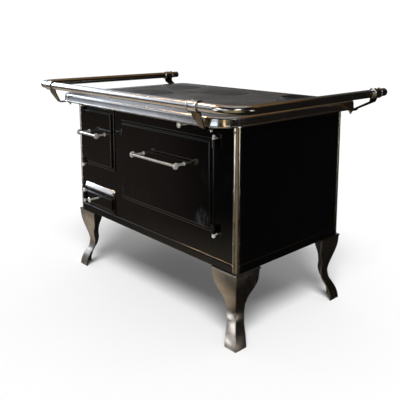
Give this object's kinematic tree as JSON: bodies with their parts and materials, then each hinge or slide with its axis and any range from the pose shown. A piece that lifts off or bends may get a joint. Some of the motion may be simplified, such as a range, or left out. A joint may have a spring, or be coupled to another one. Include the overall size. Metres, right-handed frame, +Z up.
{
  "type": "wood burning cook stove",
  "caption": "Black enamelled wood burning cook stove with oven, firebox and ash doors, cast iron cooktop, towel rail and cabriole legs.",
  "frame": {"origin": "centre of the footprint, rail clamps and rail end caps included, on the floor", "axes": "+X to the right seen from the front, +Y to the back, +Z up; the doors face -Y"},
  "size_m": [1.254, 0.8234, 0.854],
  "materials": {
    "black_enamel": "gloss enamel",
    "polished_steel": "polished",
    "nickel": "nickel plate, slightly worn",
    "cast_iron": "ground and blackened",
    "sheet_steel": "plain sheet, heat darkened",
    "firebrick": "rough fired clay"
  },
  "bodies": {
    "stove": {"plinth": "black_enamel", "base_panel": "black_enamel", "front_panel": "black_enamel", "back_panel": "black_enamel", "side_panel_left": "black_enamel", "side_panel_right": "black_enamel", "corner_post_front_left": "nickel", "corner_post_front_right": "nickel", "corner_post_back_left": "nickel", "corner_post_back_right": "nickel", "leg_front_left": "nickel", "leg_front_right": "nickel", "leg_back_left": "nickel", "leg_back_right": "nickel", "top_frame": "polished_steel", "cooktop_plate": "cast_iron", "flue_collar": "cast_iron", "towel_rail": "polished_steel", "rail_cap_left": "polished_steel", "rail_cap_right": "polished_steel", "rail_bracket_front_left": "polished_steel", "rail_bracket_front_right": "polished_steel", "rail_bracket_back_left": "polished_steel", "rail_bracket_back_right": "polished_steel", "rail_bolt_front_left": "sheet_steel", "rail_bolt_front_right": "sheet_steel", "rail_bolt_back_left": "sheet_steel", "rail_bolt_back_right": "sheet_steel", "firebox_floor": "sheet_steel", "fire_grate": "cast_iron", "firebrick_left": "firebrick", "firebrick_right": "firebrick", "firebrick_back": "firebrick", "ash_shelf": "sheet_steel", "ash_pan": "sheet_steel", "oven_liner": "sheet_steel", "oven_rack": "polished_steel", "oven_hinge_lower": "polished_steel", "oven_hinge_upper": "polished_steel", "firebox_hinge_lower": "polished_steel", "firebox_hinge_upper": "polished_steel", "ash_hinge_lower": "polished_steel", "ash_hinge_upper": "polished_steel"},
    "oven_door": {"oven_door": "black_enamel", "oven_door_liner": "sheet_steel", "oven_door_handle": "polished_steel"},
    "firebox_door": {"firebox_door": "black_enamel", "firebox_door_liner": "cast_iron", "firebox_door_handle": "polished_steel"},
    "ash_door": {"ash_door": "black_enamel", "ash_door_knob": "polished_steel"},
    "draught_slide": {"draught_slide": "polished_steel"},
    "oven_damper": {"oven_damper": "polished_steel"},
    "burner_back_left_outer_ring": {"burner_back_left_outer_ring": "cast_iron"},
    "burner_back_left_lid": {"burner_back_left_lid": "cast_iron"},
    "burner_front_left_outer_ring": {"burner_front_left_outer_ring": "cast_iron"},
    "burner_front_left_lid": {"burner_front_left_lid": "cast_iron"},
    "burner_centre_outer_ring": {"burner_centre_outer_ring": "cast_iron"},
    "burner_centre_inner_ring": {"burner_centre_inner_ring": "cast_iron"},
    "burner_centre_lid": {"burner_centre_lid": "cast_iron"}
  },
  "joints": [
    {"name": "oven_door_hinge", "type": "hinge", "parent": "stove", "child": "oven_door", "pos_m": [0.392, -0.27095, 0.5485], "axis": [0, 0, 1], "range_deg": [0, 110]},
    {"name": "firebox_door_hinge", "type": "hinge", "parent": "stove", "child": "firebox_door", "pos_m": [-0.442, -0.27095, 0.612], "axis": [0, 0, -1], "range_deg": [0, 115]},
    {"name": "ash_door_hinge", "type": "hinge", "parent": "stove", "child": "ash_door", "pos_m": [-0.442, -0.27095, 0.3385], "axis": [0, 0, -1], "range_deg": [0, 115]},
    {"name": "draught_slide_travel", "type": "slide", "parent": "stove", "child": "draught_slide", "axis": [1, 0, 0], "range_m": [0, 0.04]},
    {"name": "oven_damper_pull", "type": "slide", "parent": "stove", "child": "oven_damper", "axis": [0, -1, 0], "range_m": [0, 0.04]},
    {"name": "burner_back_left_outer_ring_lift", "type": "slide", "parent": "stove", "child": "burner_back_left_outer_ring", "axis": [0, 0, 1], "range_m": [0, 0.12]},
    {"name": "burner_back_left_lid_lift", "type": "slide", "parent": "burner_back_left_outer_ring", "child": "burner_back_left_lid", "axis": [0, 0, 1], "range_m": [0, 0.12]},
    {"name": "burner_front_left_outer_ring_lift", "type": "slide", "parent": "stove", "child": "burner_front_left_outer_ring", "axis": [0, 0, 1], "range_m": [0, 0.12]},
    {"name": "burner_front_left_lid_lift", "type": "slide", "parent": "burner_front_left_outer_ring", "child": "burner_front_left_lid", "axis": [0, 0, 1], "range_m": [0, 0.12]},
    {"name": "burner_centre_outer_ring_lift", "type": "slide", "parent": "stove", "child": "burner_centre_outer_ring", "axis": [0, 0, 1], "range_m": [0, 0.12]},
    {"name": "burner_centre_inner_ring_lift", "type": "slide", "parent": "burner_centre_outer_ring", "child": "burner_centre_inner_ring", "axis": [0, 0, 1], "range_m": [0, 0.12]},
    {"name": "burner_centre_lid_lift", "type": "slide", "parent": "burner_centre_inner_ring", "child": "burner_centre_lid", "axis": [0, 0, 1], "range_m": [0, 0.12]}
  ]
}
